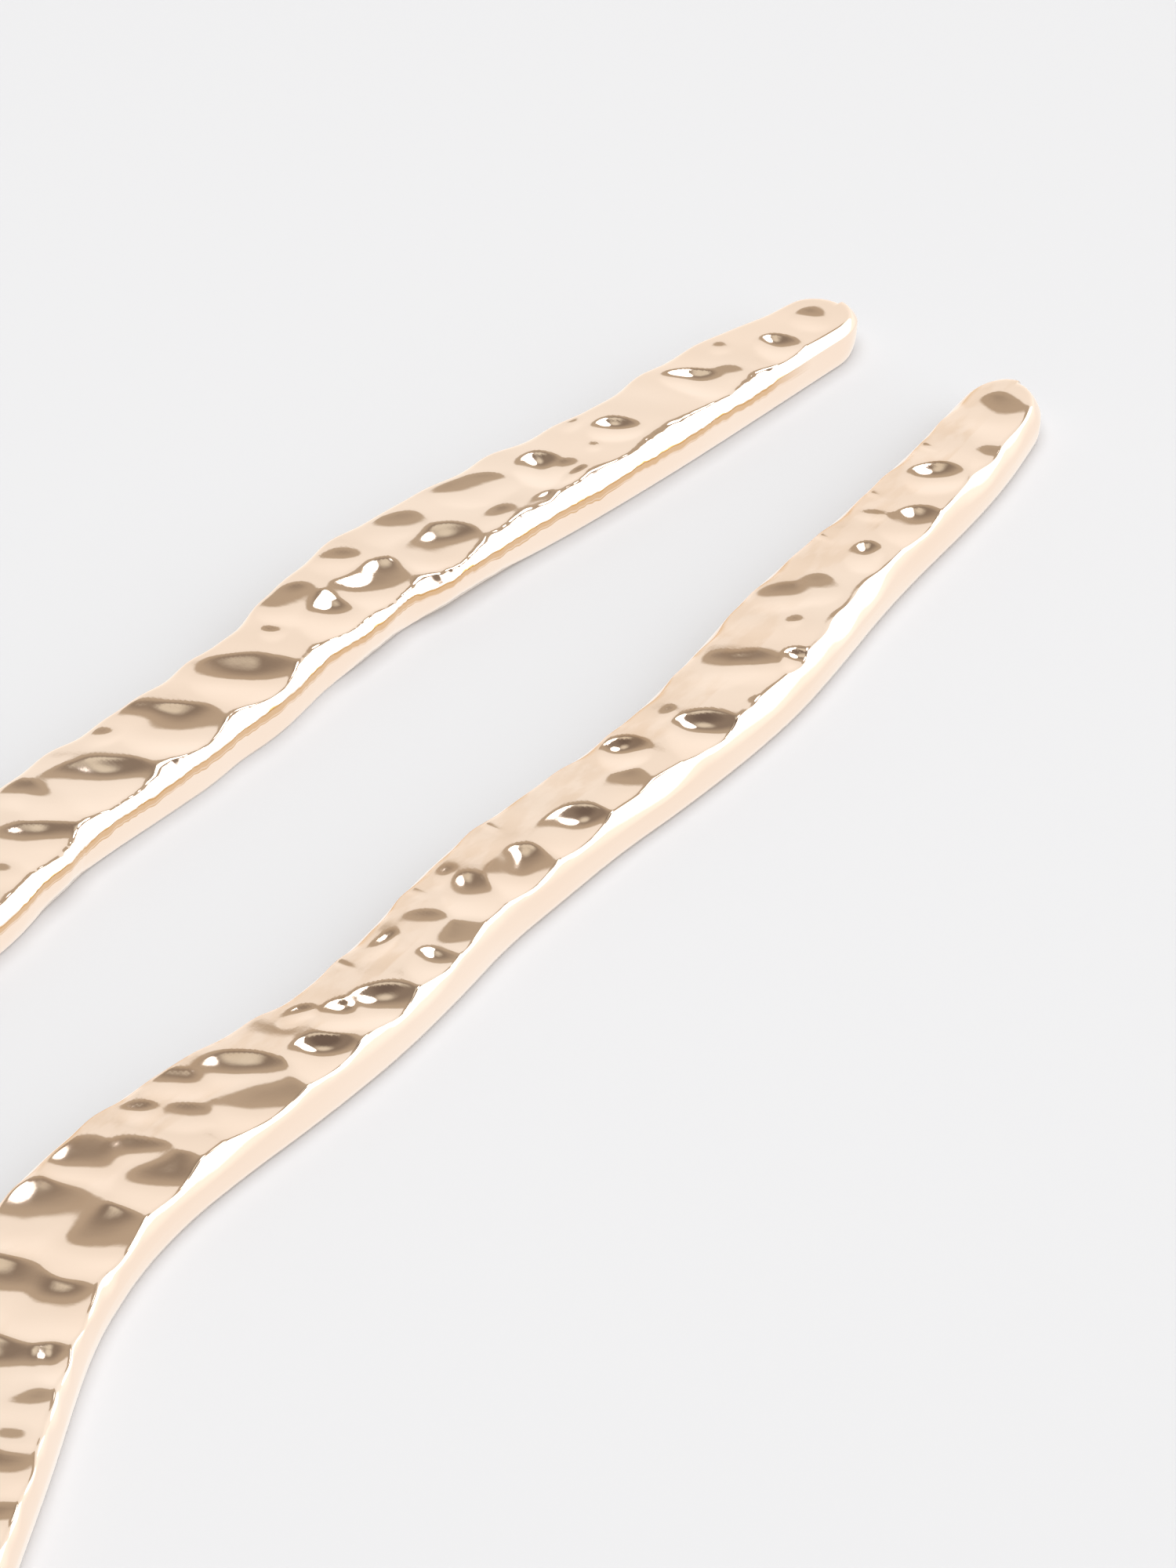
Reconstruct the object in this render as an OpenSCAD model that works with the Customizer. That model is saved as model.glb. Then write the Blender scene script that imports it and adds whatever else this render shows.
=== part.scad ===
// French hair pin: one cast bar of polished metal, bent into a round head and two long prongs.
// It lies flat. Its underside is plane and its top face is covered with hammered hollows.
// Millimetres. +Y runs from the head to the tips, +X to the right prong, +Z up from the underside.

/* [Head] */
// Outer radius of the round head
head_r = 24.4; // [22:0.2:28]
// Width of the bar round the head
head_bar_w = 6.4; // [5:0.1:7.5]
// Angle at which the two sides open out from the prongs to the head, in degrees
flare = 28.5; // [24:0.5:33]

/* [Bar] */
// Thickness of the bar
bar_t = 2.3; // [1.8:0.1:3.4]
// Thickness at the tips
tip_t = 2.1; // [1.8:0.1:3.4]
// Height of the widest line on the inner sides, as a share of the thickness
inner_edge_share = 0.76; // [0.5:0.02:0.84]
// Height of the widest line on the rounder outer sides, as a share of the thickness
outer_edge_share = 0.5; // [0.4:0.02:0.84]
// How far in from the edge the bevel of the upper side starts, where no table gives it
bevel_in = 0.55; // [0.35:0.05:0.9]
// Height that the bevel would reach above the top face, which cuts it off at the shoulder
bevel_rise = 0.12; // [0.04:0.01:0.3]
// How far in from the edge the underside starts
under_in = 0.25; // [0.15:0.05:0.7]
// Length of the rounding at each tip
tip_r = 2; // [1.4:0.1:3]

/* [Hammered face] */
// Depth of the hollows, as a share of what the tables give
hollow_depth = 1; // [0:0.1:1.3]
// Softness of the rims of the hollows and of the shoulder
rim_soft = 0.05; // [0.03:0.01:0.12]
// Lumpiness of the head's outline
lump = 0.14; // [0:0.02:0.25]

/* [Hidden] */
metal = [0.93, 0.8, 0.7];

// The prongs, one row for each swell or waist of the bar. The columns are the distance from the tip,
// the distance of the bar's centre from the pin's middle axis, and half the bar's width.
FROM_TIP = 0;
CENTRE = 1;
HALF_W = 2;
RIGHT_PRONG = [
    [0, 4.85, 1.6],
    [3, 5.45, 1.9],
    [6, 6.1, 2],
    [10, 6.55, 2.1],
    [12, 6.75, 2.05],
    [16, 7.1, 2.25],
    [20, 7.6, 2.55],
    [24, 8.3, 2.55],
    [28, 8.7, 2.35],
    [32, 8.8, 2.2],
    [36, 8.6, 2.2],
    [40, 8.5, 2.4],
    [44, 8.65, 2.35],
    [48, 9.3, 2.3],
    [52, 9.7, 2.35],
    [55, 9.75, 2.4],
    [58, 9.4, 2.75],
    [62, 9.05, 2.95],
    [66, 8.95, 3.1],
    [70, 9.4, 3.2],
    [73, 10.25, 3.25]
];
LEFT_PRONG = [
    [0, 4.75, 1.5],
    [3, 5.35, 1.85],
    [6, 5.85, 2.15],
    [10, 6.4, 2.4],
    [12, 6.4, 2.25],
    [16, 6.9, 2.35],
    [20, 7.65, 2.6],
    [24, 8.4, 2.55],
    [28, 8.95, 2.7],
    [31, 9.1, 2.6],
    [34, 8.75, 2.5],
    [36, 8.5, 2.3],
    [38, 8.25, 2.6],
    [41, 8.3, 2.65],
    [45, 8.5, 2.65],
    [50, 8.9, 2.7],
    [53, 8.85, 2.65],
    [57, 8.3, 3.05],
    [62, 8.6, 3.1],
    [66, 8.95, 3.15],
    [70, 9.4, 3.2],
    [73, 10.25, 3.25]
];

// The hollows, one row for each. The columns are the distance from the tip, the distance out from
// the middle axis, half the length, half the width, the turn from the axis towards the outside in
// degrees, and the depth as a share of the mean radius.
OUT = 1;
LONG = 2;
WIDE = 3;
TURN = 4;
STEEPNESS = 5;
FAINT = 0.09;
EVEN = 0.12;
CORED = 0.16;
DEEP = 0.182;
RIGHT_HOLLOWS = [
    [3.2, 6.1, 1.7, 1.4, 38, EVEN], [6.1, 7.8, 1.7, 0.9, 25, EVEN], [8.7, 6.6, 1.4, 1.15, -5, DEEP],
    [12.1, 8.2, 1.6, 1.5, 0, DEEP], [12.6, 6.3, 0.9, 0.45, -50, FAINT],
    [13.1, 8.6, 0.35, 0.3, 0, FAINT], [15.3, 7.7, 1.05, 0.9, 20, DEEP],
    [18.5, 7.6, 1.2, 1.1, -20, FAINT], [19.8, 6.8, 1.4, 1, -25, FAINT], [21, 8.2, 0.5, 0.35, 0, FAINT],
    [23, 10.1, 0.95, 0.9, 0, DEEP], [24.6, 8.8, 1.4, 1.2, 0, FAINT], [25.6, 7.9, 1.6, 1.2, -20, FAINT],
    [26.6, 10.5, 0.7, 0.4, 10, EVEN], [29.6, 10.2, 1.8, 1.75, 0, DEEP],
    [29.5, 7.9, 0.6, 0.35, 0, FAINT], [32.8, 8.2, 1.3, 1, 0, DEEP], [34.8, 10, 1.6, 1.3, 20, FAINT],
    [38.3, 10, 2, 1.7, 0, DEEP], [38.8, 10.3, 0.35, 0.3, 0, FAINT], [41.8, 10.2, 2, 1.75, 25, DEEP],
    [44.4, 9.3, 1.6, 1.25, 38, CORED], [44.1, 7.6, 0.8, 0.5, 10, FAINT], [47.1, 9, 1.1, 1.1, 0, FAINT],
    [46.9, 10.8, 1.6, 1.3, 0, FAINT], [48.8, 11.1, 1.4, 1.3, 0, DEEP], [49.4, 8.3, 1.2, 0.5, 0, EVEN],
    [52.3, 11.1, 1.9, 1.5, -30, DEEP], [53.8, 10, 1.2, 1, -35, DEEP], [55, 8.6, 1, 0.5, -15, EVEN],
    [56.5, 11.2, 1.7, 1.6, 0, DEEP], [59.4, 9.2, 2.2, 1.5, -50, EVEN], [61.4, 7.7, 1.6, 1.1, -50, EVEN],
    [62.8, 9.4, 1.3, 0.9, -50, FAINT], [63.8, 7.5, 0.9, 0.7, -50, EVEN],
    [66.1, 9.2, 1.6, 1.3, -50, EVEN], [78, 14.8, 1.2, 1.4, -50, DEEP]
];
LEFT_HOLLOWS = [
    [2.5, 5.1, 0.9, 0.9, 45, FAINT], [5.2, 4.8, 1.05, 1.2, 0, DEEP], [6.8, 6.8, 0.5, 0.5, 0, FAINT],
    [8.9, 5.1, 1.6, 1.2, 30, FAINT], [9.5, 6.1, 1.6, 0.95, 62, CORED], [14.7, 6.6, 1.2, 0.95, 40, DEEP],
    [16.3, 6.6, 0.4, 0.4, 0, FAINT], [15.6, 8.4, 0.6, 0.4, 0, FAINT], [19.1, 7.4, 1.15, 1.25, 30, DEEP],
    [18.3, 6.5, 0.7, 0.6, 0, FAINT], [18.5, 5.9, 0.9, 0.35, 0, EVEN], [20.7, 5.9, 0.9, 0.4, 0, EVEN],
    [22, 8.6, 1.9, 1.1, 35, FAINT], [23.1, 6.5, 1.2, 0.8, 0, FAINT], [26.5, 6.9, 2.2, 2, 20, CORED],
    [26.4, 9.3, 1.6, 1.3, 20, FAINT], [27, 6.7, 0.4, 0.3, 0, EVEN], [30.3, 7.3, 2.5, 1.9, 8, CORED],
    [32.9, 7.7, 1.8, 1.7, 0, DEEP], [33.5, 9.5, 1.6, 1.4, 0, EVEN], [29.9, 10, 1.2, 1, 20, FAINT],
    [35.6, 8.9, 0.6, 0.6, 0, EVEN], [38.7, 7.5, 2.5, 1.9, 51, EVEN], [39.5, 6.9, 0.35, 0.35, 0, EVEN],
    [43.4, 7.6, 2.4, 1.9, 51, EVEN], [43.8, 9.4, 1.6, 1.3, 30, FAINT], [45.8, 9.9, 1, 0.55, 10, FAINT],
    [48.3, 7.8, 2.8, 1.9, 48, EVEN], [48.5, 9.2, 0.9, 1, 0, FAINT], [50.6, 8.8, 1.3, 1.7, 0, FAINT],
    [51, 10.2, 1.2, 0.9, 0, FAINT], [53, 7.2, 2.2, 1.7, 45, EVEN], [55.4, 6.9, 1, 0.9, 0, FAINT]
];

// The troughs, where blows ran together: the same columns, but with blunter ends
RIGHT_TROUGHS = [
    [60.4, 11.5, 2.4, 2.3, -50, EVEN], [66.8, 11.5, 2.1, 2.2, -50, EVEN], [67.7, 8, 1.6, 1.7, -50, EVEN],
    [71.3, 11.8, 2.6, 2.7, -50, EVEN], [71.4, 9, 2.4, 2.6, -50, EVEN], [75.4, 12.8, 2.3, 2.3, -50, EVEN],
    [75.9, 10.6, 2.2, 2.3, -50, EVEN], [79.9, 13.5, 2.2, 2.5, -50, EVEN], [80.7, 15.7, 1.6, 1.8, -50, EVEN],
    [82.3, 16.7, 1, 1.1, -50, EVEN], [84.2, 17.4, 1.8, 1.7, -50, EVEN], [86.8, 18.8, 1.8, 1.7, -50, EVEN]
];
round_end = 2;
blunt_end = 2.6;
spread = 1.09;

// How far the shoulder of the top face lies in from the widest line, along the side that the hammer
// met most: the outer side of the right prong and the inner side of the left one. The columns are
// the distance from the tip, and that inset.
RIGHT_SHOULDER = [
    [0, 0.55], [3, 0.45], [4.7, 0.75], [5.6, 0.5], [7, 0.8], [9.5, 0.4], [12.5, 0.4], [15.5, 0.45],
    [17.2, 1], [18.5, 0.8], [20, 1.2], [21, 0.75], [22.5, 0.8], [24, 0.65], [26, 0.8], [28, 0.65],
    [31, 0.45], [33, 0.85], [36, 0.65], [39.5, 0.45], [43.5, 0.35], [45.5, 0.45], [48, 0.35],
    [50.2, 0.65], [54, 0.45], [58, 0.35], [62, 0.55], [64, 0.7], [68, 0.55], [73, 0.6]
];
LEFT_SHOULDER = [
    [0, 0.5], [4.5, 0.55], [6, 0.3], [7, 1], [9.5, 0.35], [13, 1.05], [16, 0.45], [18, 0.95], [20, 0.7],
    [22, 0.85], [24.5, 0.5], [26.2, 0.3], [28, 1.15], [29, 0.6], [31, 0.35], [34, 0.3], [35, 0.8],
    [36, 0.85], [38, 0.55], [39, 0.45], [40.7, 1.15], [42, 0.8], [44, 0.5], [45.2, 1.2], [47, 0.8],
    [49, 0.5], [50, 0.7], [51, 0.6], [53.8, 0.3], [54.5, 0.5], [58, 0.55]
];
outer_bevel_more = 0.12;
inner_bevel_more = 0.25;
shoulder_ease = 0.5;
shoulder_fade = 4;
shoulder_wave = 0.12;
shoulder_turns_x = 0.9;
shoulder_turns_y = 1.3;

// How far the parting seam on the left prong's inner side stands out from the bar's even width. The
// columns are the distance from the tip, and that lip.
LEFT_LIP = [
    [0, 0], [20, 0], [22, 0.1], [24, 0.33], [27, 0.45], [28.3, 0.2], [29.3, 0], [31, 0.25], [33, 0.2],
    [35, -0.15], [38, -0.2], [41, -0.35], [43, -0.15], [49, 0], [51, 0.05], [53, 0.35], [55, 0]
];
seam_from = 4;
seam_to = 72;
seam_start = 3;
seam_end = 6;
thinnest_undercut = 0.12;

// Round the head the hollows follow a loose zigzag of one pitch, with sizes that wander.
head_hollow_pitch = 2.2;
head_hollow_out = 1.45;
head_hollow_r = 1.95;
head_hollow_slim = 0.85;
head_hollow_depth = 0.24;
out_range = 0.7;
out_stride = 0.618;
r_range = 0.7;
r_stride = 0.414;
slim_range = 0.2;
slim_stride = 0.732;
turn_range = 90;
turn_stride = 0.236;
depth_range = 0.12;
depth_stride = 0.871;
right_charted_to = 86;
left_charted_to = 58;

// The sweep has a ring about every millimetre.
ring_pitch = 1.05;
first_prong_ring = tip_r + 0.5;
tip_angles = [18, 34, 50, 66, 82];
full_t_from = 12;
lump_from = 66;
many_lumps = 9;
many_lumps_from = 20;
few_lumps = 5.3;
few_lumps_from = 80;
ease_span = 1.5;
head_half_w = head_bar_w / 2;
head_centre_r = head_r - head_half_w;

// The straight flare starts where the bend is complete, and touches the head's circle.
bend_at = 75;
bend_ease = 0.15;
flare_from = 78;
flare_mark = 80;
flare_mark_out = 13.52;
head_centre = flare_mark + (head_centre_r - flare_mark_out * cos(flare)) / sin(flare);
flare_to = head_centre - head_centre_r * sin(flare);
flare_past = flare_to + 5;
pin_length = head_centre + head_r;
head_turn = 180 + 2 * flare;
deg = 180 / PI;

function column(table, k) = [for (row = table) [row[FROM_TIP], row[k]]];
function flare_x(s) = flare_mark_out + (s - flare_mark) * tan(flare);
function mean(list) = list * [for (v = list) 1] / len(list);

// A table's value at s, eased over a short span so that no kink shows at its rows
function eased(pairs, s, span = ease_span) =
    mean([for (k = [-1 : 0.5 : 1]) lookup(max(s + k * span, 0), pairs)]);
function centre_line(table) = concat(column(table, CENTRE), [
    [bend_at, flare_x(bend_at) + bend_ease],
    [flare_from, flare_x(flare_from)],
    [flare_past, flare_x(flare_past)]
]);
function half_width(table) = concat(column(table, HALF_W), [[flare_from, head_half_w]]);

// Numbers between -0.5 and 0.5 that wander with k by a stride
function wander(k, stride) = k * stride - floor(k * stride) - 0.5;

// The outline's lumps run on from the head into the flare and fade out at the bend.
function head_lump(a) =
    lump * (sin(many_lumps * a + many_lumps_from) + sin(few_lumps * a + few_lumps_from)) / 2;
function flare_lump(side, s) =
    let (
        beyond = (flare_to - s) / head_centre_r * deg,
        a = side == 1 ? flare + beyond : flare - head_turn - beyond
    )
    head_lump(a) * lookup(s, [[lump_from, 0], [flare_to, 1]]);

// A station of the sweep: place, half width, thickness, distance from the tip
function prong_x(table, s) = eased(centre_line(table), s);
function prong_station(table, side, s) = [
    side * prong_x(table, s),
    -s,
    eased(half_width(table), s) + flare_lump(side, s),
    lookup(s, [[0, tip_t], [full_t_from, bar_t]]),
    s
];
function head_station(a) = [
    head_centre_r * cos(a),
    head_centre_r * sin(a) - head_centre,
    head_half_w + head_lump(a),
    bar_t,
    flare_to
];

tip_steps = [for (a = tip_angles) tip_r * (1 - cos(a))];
prong_steps = [for (s = [first_prong_ring : ring_pitch : flare_to - ring_pitch / 2]) s];
all_steps = concat(tip_steps, prong_steps);
last_step = len(all_steps) - 1;
head_rings = round(head_turn * head_centre_r / deg / ring_pitch);

STATIONS = concat(
    [for (s = all_steps) prong_station(RIGHT_PRONG, 1, s)],
    [for (i = [0 : head_rings]) head_station(flare - i * head_turn / head_rings)],
    [for (i = [0 : last_step]) prong_station(LEFT_PRONG, -1, all_steps[last_step - i])]
);
last_ring = len(STATIONS) - 1;

// Each hollow as used: place, half length, half width, heading of its length, depth, end
DEPTH = 5;
END = 6;
function charted(table, side, end) = [
    for (h = table)
        let (depth = h[STEEPNESS] * sqrt(h[LONG] * h[WIDE]))
        [side * h[OUT], -h[FROM_TIP], spread * h[LONG], spread * h[WIDE], -90 + side * h[TURN], depth, end]
];
function head_hollow(k, x, y, heading) =
    let (
        out = (k % 2 == 0 ? 1 : -1) * head_hollow_out + out_range * wander(k, out_stride),
        r = head_hollow_r + r_range * wander(k, r_stride)
    )
    [
        x - out * sin(heading),
        y + out * cos(heading),
        r,
        r * (head_hollow_slim + slim_range * wander(k, slim_stride)),
        heading + turn_range * wander(k, turn_stride),
        head_hollow_depth + depth_range * wander(k, depth_stride),
        round_end
    ];
head_hollow_step = head_hollow_pitch / head_centre_r * deg;
HEAD_HOLLOWS = concat(
    [for (k = [0 : floor((flare_to - right_charted_to) / head_hollow_pitch)])
        let (s = right_charted_to + k * head_hollow_pitch)
        head_hollow(k, flare_x(s), -s, flare - 90)],
    [for (k = [0 : floor(head_turn / head_hollow_step)])
        let (a = flare - k * head_hollow_step)
        head_hollow(k, head_centre_r * cos(a), head_centre_r * sin(a) - head_centre, a - 90)],
    [for (k = [0 : floor((flare_to - left_charted_to) / head_hollow_pitch)])
        let (s = left_charted_to + k * head_hollow_pitch)
        head_hollow(k, -prong_x(LEFT_PRONG, s), -s, 90)]
);
HOLLOWS = concat(
    charted(RIGHT_HOLLOWS, 1, round_end),
    charted(RIGHT_TROUGHS, 1, blunt_end),
    HEAD_HOLLOWS,
    charted(LEFT_HOLLOWS, -1, round_end)
);
hollow_reach = 7;

// How far the hammered face lies below its plane at a point. Hollows that overlap meet in a ridge.
// The blows came at a slant, so each hollow is steeper on the side that they pushed against.
ridge_soft = 0.05;
hollow_profile = 1.3;
lean = 0.45;
lean_heading = 128.5;
face_wear = 0.05;
function bowl(h, x, y) =
    let (
        dx = x - h[0],
        dy = y - h[1],
        along = (dx * cos(h[TURN]) + dy * sin(h[TURN])) / h[LONG],
        aside = (dy * cos(h[TURN]) - dx * sin(h[TURN])) / h[WIDE],
        inside = max(0, 1 - pow(abs(along), h[END]) - pow(aside, 2)),
        toward = (dx * cos(lean_heading) + dy * sin(lean_heading)) / sqrt(h[LONG] * h[WIDE])
    )
    h[DEPTH] * hollow_depth * pow(inside, hollow_profile) * (1 + lean * toward);
function sunk(hollows, x, y) =
    len(hollows) == 0 ? 0 :
    let (v = [for (h = hollows) exp(bowl(h, x, y) / ridge_soft) - 1])
    ridge_soft * ln(1 + v * [for (e = v) 1]);

// The shoulder's distance in from the widest line: charted where the table is meant for this side
// of this prong, and a slow wave elsewhere
function shoulder_in(table, here, st) =
    let (
        wave = shoulder_wave * sin((shoulder_turns_x * st[0] + shoulder_turns_y * st[1]) * deg),
        charted_to = table[len(table) - 1][FROM_TIP],
        share = here ? min(max((charted_to - st[4]) / shoulder_fade, 0), 1) : 0
    )
    eased(table, st[4], shoulder_ease) * share + (bevel_in + wave) * (1 - share);

// 1 along the parting seam, 0 past its ends and on the right prong
function seam_share(st) =
    st[0] > 0 ? 0 :
    min(max((st[4] - seam_from) / seam_start, 0), 1) * min(max((seam_to - st[4]) / seam_end, 0), 1);

// The rise of a side as a share of its full height, at a distance in from the edge. A roundness of
// 1 is a straight bevel, and 2 is an ellipse.
inner_roundness = 1.15;
outer_roundness = 1.35;
under_roundness = 2;
function side_share(edge_in, inset, roundness) =
    edge_in >= inset ? 1 : pow(max(0, 1 - pow(1 - edge_in / inset, roundness)), 1 / roundness);
function soft_min(a, b) = -rim_soft * ln(exp(-a / rim_soft) + exp(-b / rim_soft));

// Places across the bar from its middle out: shares of the flat middle, then shares of the bevel
// and of the lower side, both counted in from the edge
flat_shares = [0.2, 0.6, 1];
bevel_shares = [0.7, 0.4, 0.1];
under_shares = [0.1, 0.45];
function across(w, inset, undercut) = [
    for (f = flat_shares) f * (w - inset),
    for (f = bevel_shares) w - inset * f,
    w,
    for (f = under_shares) w - undercut * f,
    w - undercut
];
edge_place = len(flat_shares) + len(bevel_shares);
half_count = edge_place + len(under_shares) + 2;
ring_count = 2 * half_count;

// One ring of the sweep: down its outer half from the middle of the top, then up its inner half
function ring(i) =
    let (
        st = STATIONS[i],
        before = STATIONS[max(i - 1, 0)],
        after = STATIONS[min(i + 1, last_ring)],
        run = [after[0] - before[0], after[1] - before[1]],
        ahead = run / norm(run),
        s = st[4],
        w = st[2],
        tip_share = s < tip_r ? (tip_r - s) / tip_r : 0,
        squeeze = sqrt(1 - tip_share * tip_share),
        seam = seam_share(st),
        lip = seam * eased(LEFT_LIP, s, shoulder_ease),
        outer_inset = shoulder_in(RIGHT_SHOULDER, st[0] > 0, st) + outer_bevel_more,
        inner_inset = shoulder_in(LEFT_SHOULDER, st[0] < 0, st) + lip + inner_bevel_more * seam,
        inner_undercut = max(under_in + lip, thinnest_undercut),
        outer_places = across(w, outer_inset, under_in),
        inner_places = across(w + lip, inner_inset, inner_undercut),
        near = [for (h = HOLLOWS) if (norm([h[0] - st[0], h[1] - st[1]]) < hollow_reach) h],
        order = concat([for (j = [0 : half_count - 1]) j], [for (j = [half_count - 1 : -1 : 0]) -j - 1])
    )
    [for (o = order)
        let (
            inner = o < 0,
            j = inner ? -o - 1 : o,
            u = inner ? -inner_places[j] : outer_places[j],
            wide = inner ? w + lip : w,
            inset = inner ? inner_inset : outer_inset,
            undercut = inner ? inner_undercut : under_in,
            outward = (1 + sin(90 * u / wide)) / 2,
            edge_z = st[3] * (inner_edge_share + (outer_edge_share - inner_edge_share) * outward),
            roundness = inner_roundness + (outer_roundness - inner_roundness) * outward,
            edge_in = (1 - sqrt(pow(tip_share, 2) + pow(squeeze * u / wide, 2))) * wide,
            upper = side_share(edge_in, inset, roundness),
            lower = side_share(edge_in, undercut, under_roundness),
            x = st[0] - ahead[1] * u * squeeze,
            y = st[1] + ahead[0] * u * squeeze,
            bevel_z = edge_z + (st[3] - edge_z + bevel_rise) * upper,
            over = soft_min(bevel_z, st[3] - face_wear - sunk(near, x, y)),
            z = j < edge_place ? over : (j == edge_place ? edge_z : edge_z * (1 - lower))
        )
        [x, y + pin_length / 2, z]
    ];

module hair_pin() {
    points = [for (i = [0 : last_ring]) each ring(i)];
    sides = [
        for (i = [0 : last_ring - 1], j = [0 : ring_count - 1])
            let (
                a = i * ring_count + j,
                b = i * ring_count + (j + 1) % ring_count,
                c = b + ring_count,
                d = a + ring_count
            )
            each [[a, b, c], [a, c, d]]
    ];
    first_end = [for (j = [ring_count - 1 : -1 : 0]) j];
    last_end = [for (j = [0 : ring_count - 1]) last_ring * ring_count + j];
    color(metal)
        polyhedron(points, concat(sides, [first_end, last_end]));
}

hair_pin();
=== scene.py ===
# French hair pin: one cast bar of polished pale gold, hammered on its top face, lying on a pale floor.
# Lengths are in millimetres up to the mesh and the camera, which are in metres.

import functools
import math

import bpy
import numpy as np
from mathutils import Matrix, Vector


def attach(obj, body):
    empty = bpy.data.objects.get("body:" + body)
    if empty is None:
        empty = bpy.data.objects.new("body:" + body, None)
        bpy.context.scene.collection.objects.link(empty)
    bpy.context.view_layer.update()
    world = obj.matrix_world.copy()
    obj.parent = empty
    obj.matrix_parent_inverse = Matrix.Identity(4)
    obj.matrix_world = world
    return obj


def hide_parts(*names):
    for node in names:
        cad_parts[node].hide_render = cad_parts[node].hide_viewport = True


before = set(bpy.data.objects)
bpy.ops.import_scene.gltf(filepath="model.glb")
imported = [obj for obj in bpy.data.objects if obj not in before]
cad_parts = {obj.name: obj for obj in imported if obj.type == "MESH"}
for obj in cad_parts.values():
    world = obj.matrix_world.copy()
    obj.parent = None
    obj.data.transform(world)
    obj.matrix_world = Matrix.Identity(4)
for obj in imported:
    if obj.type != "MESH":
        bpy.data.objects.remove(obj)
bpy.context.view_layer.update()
MM = 0.001

# The bar
HEAD_R = 24.4
HEAD_BAR_W = 6.4
FLARE = math.radians(28.5)
BAR_T = 2.3
TIP_T = 2.1
TIP_R = 2.0
FULL_T_FROM = 12

# Its sides: the widest line's height as a share of the thickness, the bevel that rises from there
# to a shoulder where the face cuts it off, and the rounding down to the underside
OUTER_EDGE_SHARE = 0.5
INNER_EDGE_SHARE = 0.76
BEVEL_IN = 0.55
OUTER_BEVEL_MORE = 0.12
INNER_BEVEL_MORE = 0.25
BEVEL_RISE = 0.12
OUTER_ROUNDNESS = 1.35
INNER_ROUNDNESS = 1.15
RIM_SOFT = 0.04
UNDER_IN = 0.25
UNDER_ROUNDNESS = 2.0
UNDER_MIDDLE_SHARE = 0.5
CAST_SIDE_BLEND = 0.3

# The lumps of the head's outline, which fade out along the flare
LUMP = 0.14
MANY_LUMPS = 9
MANY_LUMPS_FROM = 20
FEW_LUMPS = 5.3
FEW_LUMPS_FROM = 80
LUMP_FROM = 66

# How the hollows are shaped: they meet in soft ridges, and each is steeper on the side that the
# slanting blows pushed against. The charted ones spread a little past the sizes in their rows.
RIDGE_SOFT = 0.05
HOLLOW_PROFILE = 1.3
LEAN = 0.45
LEAN_TOWARD = (-0.623, 0.783)
LEAN_LIMITS = (0.3, 2)
ROUND_END = 2
BLUNT_END = 2.6
SPREAD = 1.09

# Slow waves, one row for each: its height, its turns along X and along Y in radians for each
# millimetre, and its start. They sway the shoulder, keep the hollows from being plain ellipses,
# and give the face the unevenness that polishing leaves.
SHOULDER_WAVES = ((0.12, 0.9, 1.3, 0), (0.06, -1.7, 2.3, 0))
STRAY = 0.08
STRAY_X_WAVES = ((1, 0.8, 1.7, 0.4), (0.3, -2.4, 2.9, 1.9))
STRAY_Y_WAVES = ((1, 1.9, -0.9, 2.2), (0.3, 2.7, 2.3, 0.7))
FACE_WEAR = 0.05
WEAR_WAVES = (
    (0.2, 1.1, 0.5, 0.4), (0.2, 0.7, -1.3, 1.7), (0.2, -0.6, 1.6, 2.9), (0.2, 2.1, 1.2, 0.2),
    (0.2, 1.3, -2.3, 4.4),
)

# The prongs, one row for each swell or waist: distance from the tip, distance of the bar's centre
# from the pin's middle axis, and half the bar's width
FROM_TIP, CENTRE, HALF_W = range(3)
RIGHT_PRONG = [
    (0, 4.85, 1.6), (3, 5.45, 1.9), (6, 6.1, 2), (10, 6.55, 2.1), (12, 6.75, 2.05), (16, 7.1, 2.25),
    (20, 7.6, 2.55), (24, 8.3, 2.55), (28, 8.7, 2.35), (32, 8.8, 2.2), (36, 8.6, 2.2), (40, 8.5, 2.4),
    (44, 8.65, 2.35), (48, 9.3, 2.3), (52, 9.7, 2.35), (55, 9.75, 2.4), (58, 9.4, 2.75),
    (62, 9.05, 2.95), (66, 8.95, 3.1), (70, 9.4, 3.2), (73, 10.25, 3.25),
]
LEFT_PRONG = [
    (0, 4.75, 1.5), (3, 5.35, 1.85), (6, 5.85, 2.15), (10, 6.4, 2.4), (12, 6.4, 2.25), (16, 6.9, 2.35),
    (20, 7.65, 2.6), (24, 8.4, 2.55), (28, 8.95, 2.7), (31, 9.1, 2.6), (34, 8.75, 2.5), (36, 8.5, 2.3),
    (38, 8.25, 2.6), (41, 8.3, 2.65), (45, 8.5, 2.65), (50, 8.9, 2.7), (53, 8.85, 2.65),
    (57, 8.3, 3.05), (62, 8.6, 3.1), (66, 8.95, 3.15), (70, 9.4, 3.2), (73, 10.25, 3.25),
]

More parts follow.
